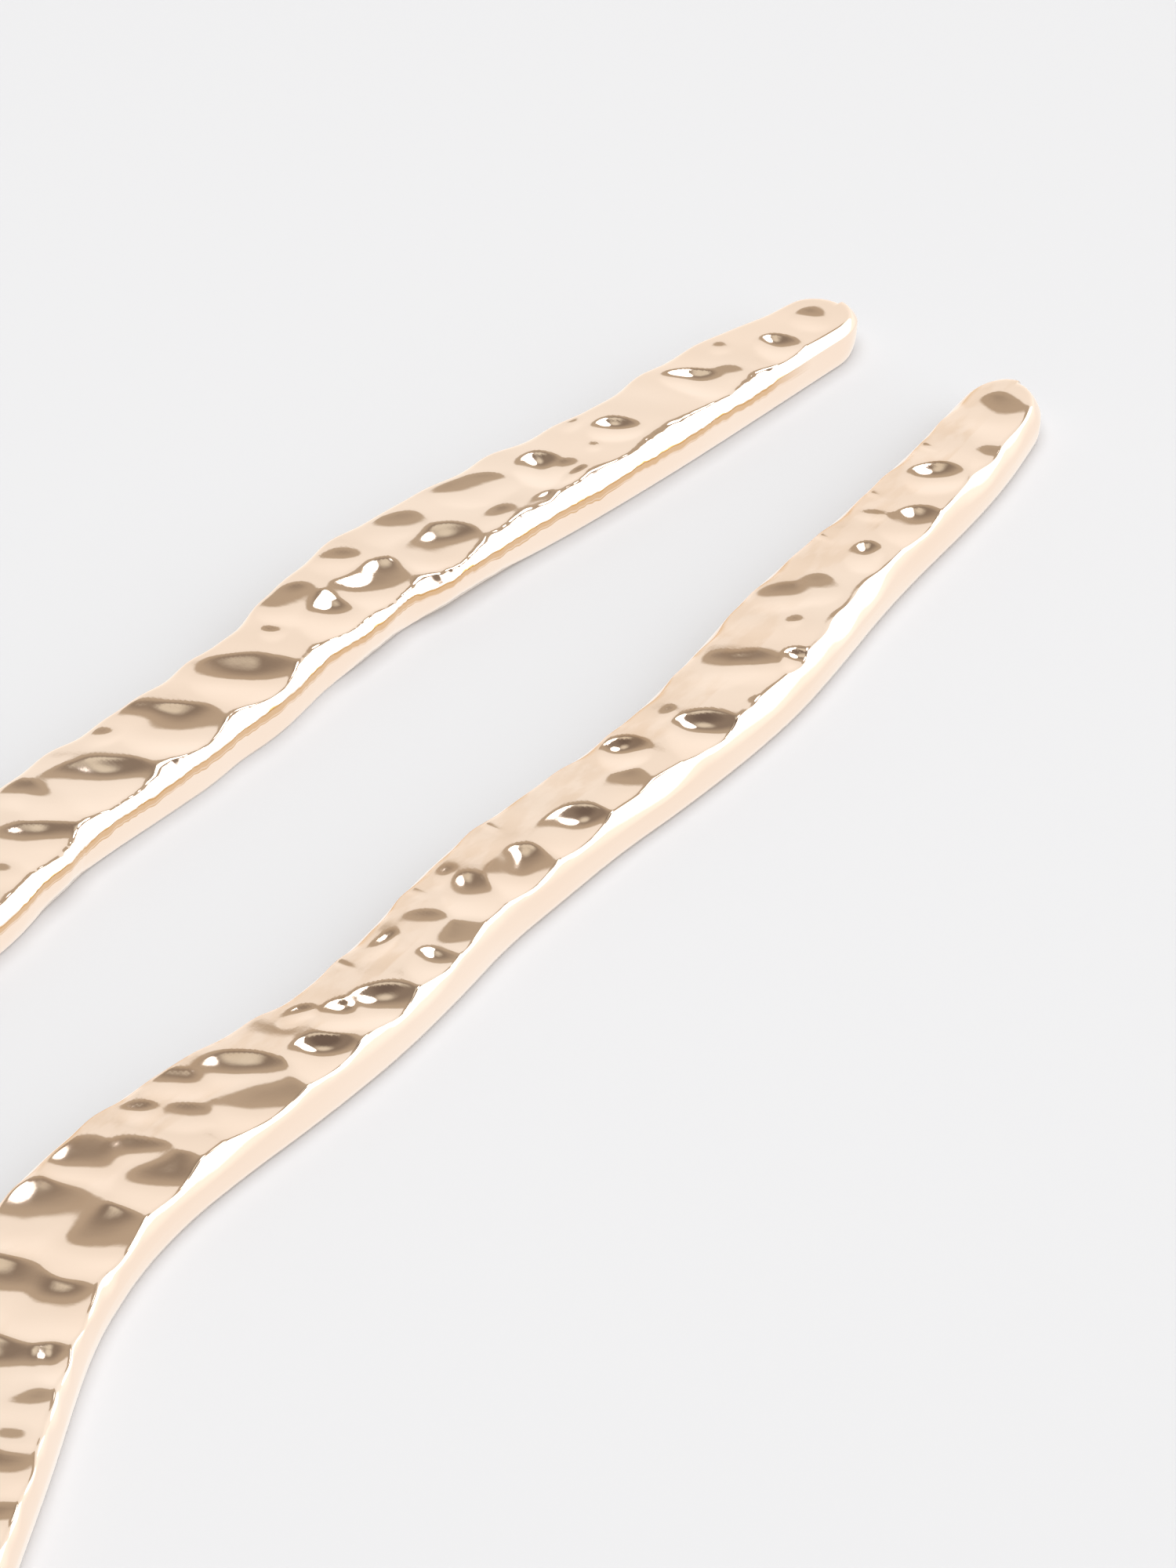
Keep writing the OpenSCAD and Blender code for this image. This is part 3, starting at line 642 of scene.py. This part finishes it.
# The stain along the seam, in millimetres below it. Each pair gives where a part of it is nothing
# and where it is full. The edges sway, and the second line comes and goes in patches.
STAIN_STRETCH = 2.5
STAIN_SWAY = 0.3
DARK_LINE_STARTS = (-0.03, 0.01)
DARK_LINE_ENDS = (0.16, 0.08)
BAND_STARTS = (0.01, 0.06)
BAND_ENDS = (0.45, 0.3)
BAND_SHARE = 0.72
SECOND_LINE_AT = 0.44
SECOND_LINE_ENDS = (0.06, 0.02)
SECOND_LINE_SHARE = 0.75
SECOND_PATCH_SIZE = 4
SECOND_PATCH_LEVELS = (0.3, 0.6)
# The levels of the ragged noise at which the painted shade along the marked rim is nothing and full
RIM_PATCH_LEVELS = (0.35, 0.6)


def seam_stain_and_rim_shade_group():
    """The share of the dark tone: tarnish as a dark line just below the seam, a paler band and a
    second line under it, and painted shade, a dark reflection painted in patches along the marked rim."""
    tree, nodes, given, result = node_group(
        "Seam Stain And Rim Shade",
        [("Vector", "Vector", None), ("Below", "Float", 0.0), ("By Seam", "Float", 0.0),
         ("Rim", "Float", 0.0), ("Size", "Float", 0.0008)],
        [("Amount", "Float")])
    place, size = given["Vector"], given["Size"]
    ragged = noise(nodes, stretched(nodes, place, STAIN_STRETCH), size, detail=3.0)
    below = nodes.plus(given["Below"], nodes.times(nodes.math("SUBTRACT", ragged, 0.5), STAIN_SWAY))
    line = nodes.times(nodes.step(below, *DARK_LINE_STARTS), nodes.step(below, *DARK_LINE_ENDS))
    band = nodes.times(nodes.step(below, *BAND_STARTS), nodes.step(below, *BAND_ENDS))
    from_second = nodes.math("ABSOLUTE", nodes.math("SUBTRACT", below, SECOND_LINE_AT))
    second = nodes.step(from_second, *SECOND_LINE_ENDS)
    patch = noise(nodes, place, nodes.times(size, SECOND_PATCH_SIZE), detail=1.0)
    patch = nodes.times(nodes.step(patch, *SECOND_PATCH_LEVELS), SECOND_LINE_SHARE)
    share = nodes.math("MAXIMUM", line, nodes.times(band, BAND_SHARE))
    share = nodes.math("MAXIMUM", share, nodes.times(second, patch))
    # Painted shade: a dark reflection painted in patches along the marked rim
    rim = nodes.times(given["Rim"], nodes.step(ragged, *RIM_PATCH_LEVELS))
    nodes.link(nodes.plus(nodes.times(share, given["By Seam"]), rim), result["Amount"])
    return tree


# The metal's tones, in patches of one plating, and how much duller its stain, its painted rim shade and its
# cast sides are
METAL_TONE = (0.93, 0.775, 0.665, 1)
WARM_TONE = (0.92, 0.75, 0.63, 1)
STAIN_AND_SHADE_TONE = (0.64, 0.37, 0.15, 1)
PLATING_SIZE = 0.009
PLATING_LEVELS = (0.35, 0.65)
STAIN_AND_SHADE_DULLER = 0.2
CAST_SIDE_DULLER = 0.06
WAVE_HEIGHT = 0.012 * MM


def polished_gold(name):
    """Pale rose gold, buffed bright, with faint waves, smudges, streaked cast sides, a stained
    seam and painted shade, a dark reflection painted along the marked rim."""
    material = bpy.data.materials.new(name)
    material.use_nodes = True
    nodes = Nodes(material.node_tree)
    shader = material.node_tree.nodes["Principled BSDF"]
    place = nodes.add("ShaderNodeTexCoord").outputs["Object"]

    def mask(attribute):
        return nodes.add("ShaderNodeAttribute", attribute_name=attribute).outputs["Fac"]

    def use(tree, **values):
        node = nodes.add("ShaderNodeGroup", node_tree=tree)
        nodes.link(place, node.inputs["Vector"])
        for socket, value in values.items():
            nodes.feed(node.inputs[socket.replace("_", " ")], value)
        return node.outputs

    plating = nodes.step(noise(nodes, place, PLATING_SIZE), *PLATING_LEVELS)
    plating = nodes.mix_color(plating, METAL_TONE, WARM_TONE)
    levels = {"Below": mask("below_seam"), "By_Seam": mask("by_seam"), "Rim": mask("rim_painted_shade")}
    # The stain along the seam, together with painted shade along the marked rim that stands in for its dark
    # reflection
    stain_and_shade = use(seam_stain_and_rim_shade_group(), **levels)["Amount"]
    nodes.link(nodes.mix_color(stain_and_shade, plating, STAIN_AND_SHADE_TONE), shader.inputs["Base Color"])
    shader.inputs["Metallic"].default_value = 1
    smudged = use(smudges_group(), Size=0.006, Clean=0.045, Smudged=0.085)["Roughness"]
    stain_and_shade_duller = nodes.times(stain_and_shade, STAIN_AND_SHADE_DULLER)
    cast_duller = nodes.times(mask("cast_side"), CAST_SIDE_DULLER)
    duller = nodes.plus(stain_and_shade_duller, cast_duller)
    nodes.link(nodes.plus(smudged, duller), shader.inputs["Roughness"])
    waves_height = use(polish_waves_group(), Wave_Length=0.0016, Streaks=mask("cast_side"))["Height"]
    bump = nodes.add("ShaderNodeBump")
    bump.inputs["Distance"].default_value = WAVE_HEIGHT
    nodes.link(waves_height, bump.inputs["Height"])
    nodes.link(bump.outputs[0], shader.inputs["Normal"])
    return material


# The camera looks down on the prongs at the photograph's angle
VIEW_AZIMUTH = math.radians(38.5)
VIEW_ELEVATION = math.radians(38)
VIEW_DISTANCE = 466.67
LENS = 252
SENSOR = 36
LOOK_AT = Vector((7.69, PIN_LENGTH / 2 - 34.6, 1.5))

# The floor, in metres: its paint, and the tones and the slant of its glow in the metal
FLOOR_R = 3
FLOOR_SIDES = 96
FLOOR_DROP = 0.02 * MM
FLOOR_PAINT = (0.498, 0.508, 0.528, 1)
FLOOR_TONE = (1.04, 1.03, 1, 1)
GLARE_TONE = (1.25, 1.22, 1.17, 1)
GLARE_SLANTS = (0.7, 0.95)

# The studio round the pin, as linear colours and angles in degrees with the view's own axes. Each
# edge of the screen and of the soft box is an angle and half the width of its soft band. The lamp
# and the spot each have a place, and the angles from it at which they start and are full.
ROOM_TONE = (0.51, 0.437, 0.342, 1)
CEILING_TONE = (0.27, 0.225, 0.182, 1)
CEILING_HEIGHTS = (47, 63)
DARK_CEILING_TONE = (0.17, 0.136, 0.114, 1)
DARK_CEILING_HEIGHTS = (68, 79)
SCREEN_LOW_TONE = (1.1, 1.083, 1.034, 1)
SCREEN_HIGH_TONE = (0.95, 0.93, 0.875, 1)
SCREEN_TONE_HEIGHTS = (10, 50)
SCREEN_SIDES = ((-60, 5), (132, 8))
SCREEN_HEIGHTS = ((-80, 2), (43.3, 2))
SOFT_BOX_TONE = (2.6, 2.6, 2.6, 1)
SOFT_BOX_SIDES = ((50, 2), (135, 4))
SOFT_BOX_HEIGHTS = ((3, 5), (65, 3))
LAMP_TONE = (0.76, 0.72, 0.61, 1)
LAMP_AT = (0, 67)
LAMP_ANGLES = (9, 2)
SPOT_AT = (25, 59)
SPOT_ANGLES = (8, 6.5)
BACKDROP_TONE = (0.879, 0.879, 0.879, 1)

# The overhead light, in metres and watts
OVERHEAD_AT = (0.02, 0.03, 0.55)
OVERHEAD_SIZE = 0.5
OVERHEAD_POWER = 3.0


def direction(azimuth, elevation):
    """The way to a light, from its angles in degrees with the view's own axes."""
    a, e = math.radians(azimuth), math.radians(elevation)
    return math.sin(a) * math.cos(e), math.cos(a) * math.cos(e), math.sin(e)


def place_camera():
    data = bpy.data.cameras.new("camera")
    data.lens = LENS
    data.sensor_width = SENSOR
    camera = bpy.data.objects.new("camera", data)
    level = math.cos(VIEW_ELEVATION)
    back_x, back_y = math.sin(VIEW_AZIMUTH) * level, -math.cos(VIEW_AZIMUTH) * level
    back = Vector((back_x, back_y, math.sin(VIEW_ELEVATION)))
    camera.location = (LOOK_AT + back * VIEW_DISTANCE) * MM
    camera.rotation_euler = back.to_track_quat("Z", "Y").to_euler()
    bpy.context.scene.collection.objects.link(camera)
    bpy.context.scene.camera = camera


def make_floor():
    """A pale matt floor. In the metal it shows as an even glow, with glare where it slants away."""
    bpy.ops.mesh.primitive_circle_add(
        vertices=FLOOR_SIDES, radius=FLOOR_R, fill_type="NGON", location=(0, 0, -FLOOR_DROP))
    floor = bpy.context.object
    floor.name = "floor"
    material = bpy.data.materials.new("pale_floor")
    material.use_nodes = True
    tree = Nodes(material.node_tree)
    shader = material.node_tree.nodes["Principled BSDF"]
    output = material.node_tree.nodes["Material Output"]
    shader.inputs["Base Color"].default_value = FLOOR_PAINT
    shader.inputs["Roughness"].default_value = 1
    shader.inputs["Specular IOR Level"].default_value = 0
    glow = tree.add("ShaderNodeEmission")
    slant = tree.add("ShaderNodeLayerWeight")
    glare = tree.step(slant.outputs["Facing"], *GLARE_SLANTS)
    tree.link(tree.mix_color(glare, FLOOR_TONE, GLARE_TONE), glow.inputs["Color"])
    path = tree.add("ShaderNodeLightPath")
    blend = tree.add("ShaderNodeMixShader")
    tree.link(path.outputs["Is Glossy Ray"], blend.inputs[0])
    tree.link(shader.outputs[0], blend.inputs[1])
    tree.link(glow.outputs[0], blend.inputs[2])
    tree.link(blend.outputs[0], output.inputs["Surface"])
    floor.data.materials.append(material)


def studio_light():
    """A wide pale screen behind the pin, a bright soft box to its right, a round spot between them,
    a soft lamp above, and a dim room under a darker ceiling."""
    world = bpy.data.worlds.new("studio")
    bpy.context.scene.world = world
    world.use_nodes = True
    tree = Nodes(world.node_tree)
    coordinates = tree.add("ShaderNodeTexCoord")
    turn = tree.add("ShaderNodeVectorRotate", rotation_type="Z_AXIS")
    tree.link(coordinates.outputs["Generated"], turn.inputs["Vector"])
    turn.inputs["Angle"].default_value = -VIEW_AZIMUTH
    parts = tree.add("ShaderNodeSeparateXYZ")
    tree.link(turn.outputs[0], parts.inputs[0])
    azimuth = tree.math("DEGREES", tree.math("ARCTAN2", parts.outputs["X"], parts.outputs["Y"]))
    elevation = tree.math("DEGREES", tree.math("ARCSINE", parts.outputs["Z"]))

    def off(azimuth_and_elevation):
        """The angle from a direction, in degrees."""
        toward = tree.add("ShaderNodeVectorMath", operation="DOT_PRODUCT")
        tree.link(turn.outputs[0], toward.inputs[0])
        toward.inputs[1].default_value = direction(*azimuth_and_elevation)
        return tree.math("DEGREES", tree.math("ARCCOSINE", toward.outputs["Value"]))

    def panel(sides, heights):
        """1 inside a panel, given its left and right edges and its lower and upper edges."""
        (left, left_soft), (right, right_soft) = sides
        (low, low_soft), (high, high_soft) = heights
        return tree.times(
            tree.step(azimuth, left - left_soft, left + left_soft),
            tree.step(azimuth, right + right_soft, right - right_soft),
            tree.step(elevation, low - low_soft, low + low_soft),
            tree.step(elevation, high + high_soft, high - high_soft))

    light = tree.mix_color(tree.step(elevation, *CEILING_HEIGHTS), ROOM_TONE, CEILING_TONE)
    light = tree.mix_color(tree.step(elevation, *DARK_CEILING_HEIGHTS), light, DARK_CEILING_TONE)
    light = tree.mix_color(tree.step(off(LAMP_AT), *LAMP_ANGLES), light, LAMP_TONE)
    screen = tree.step(elevation, *SCREEN_TONE_HEIGHTS)
    screen = tree.mix_color(screen, SCREEN_LOW_TONE, SCREEN_HIGH_TONE)
    light = tree.mix_color(panel(SCREEN_SIDES, SCREEN_HEIGHTS), light, screen)
    light = tree.mix_color(panel(SOFT_BOX_SIDES, SOFT_BOX_HEIGHTS), light, SOFT_BOX_TONE)
    light = tree.mix_color(tree.step(off(SPOT_AT), *SPOT_ANGLES), light, SOFT_BOX_TONE)
    path = tree.add("ShaderNodeLightPath")
    light = tree.mix_color(path.outputs["Is Camera Ray"], light, BACKDROP_TONE)
    tree.link(light, world.node_tree.nodes["Background"].inputs["Color"])


def fill_light():
    """A large overhead light that only the floor sees."""
    data = bpy.data.lights.new("overhead", "AREA")
    data.shape = "DISK"
    data.size = OVERHEAD_SIZE
    data.energy = OVERHEAD_POWER
    lamp = bpy.data.objects.new("overhead", data)
    lamp.location = OVERHEAD_AT
    lamp.visible_glossy = False
    bpy.context.scene.collection.objects.link(lamp)


pin = make_pin("hammered_pin")
pin.data.materials.append(polished_gold("polished_pale_gold"))
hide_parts("hair_pin")
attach(pin, "root")

make_floor()
studio_light()
fill_light()
place_camera()
bpy.context.scene.view_settings.view_transform = "Standard"
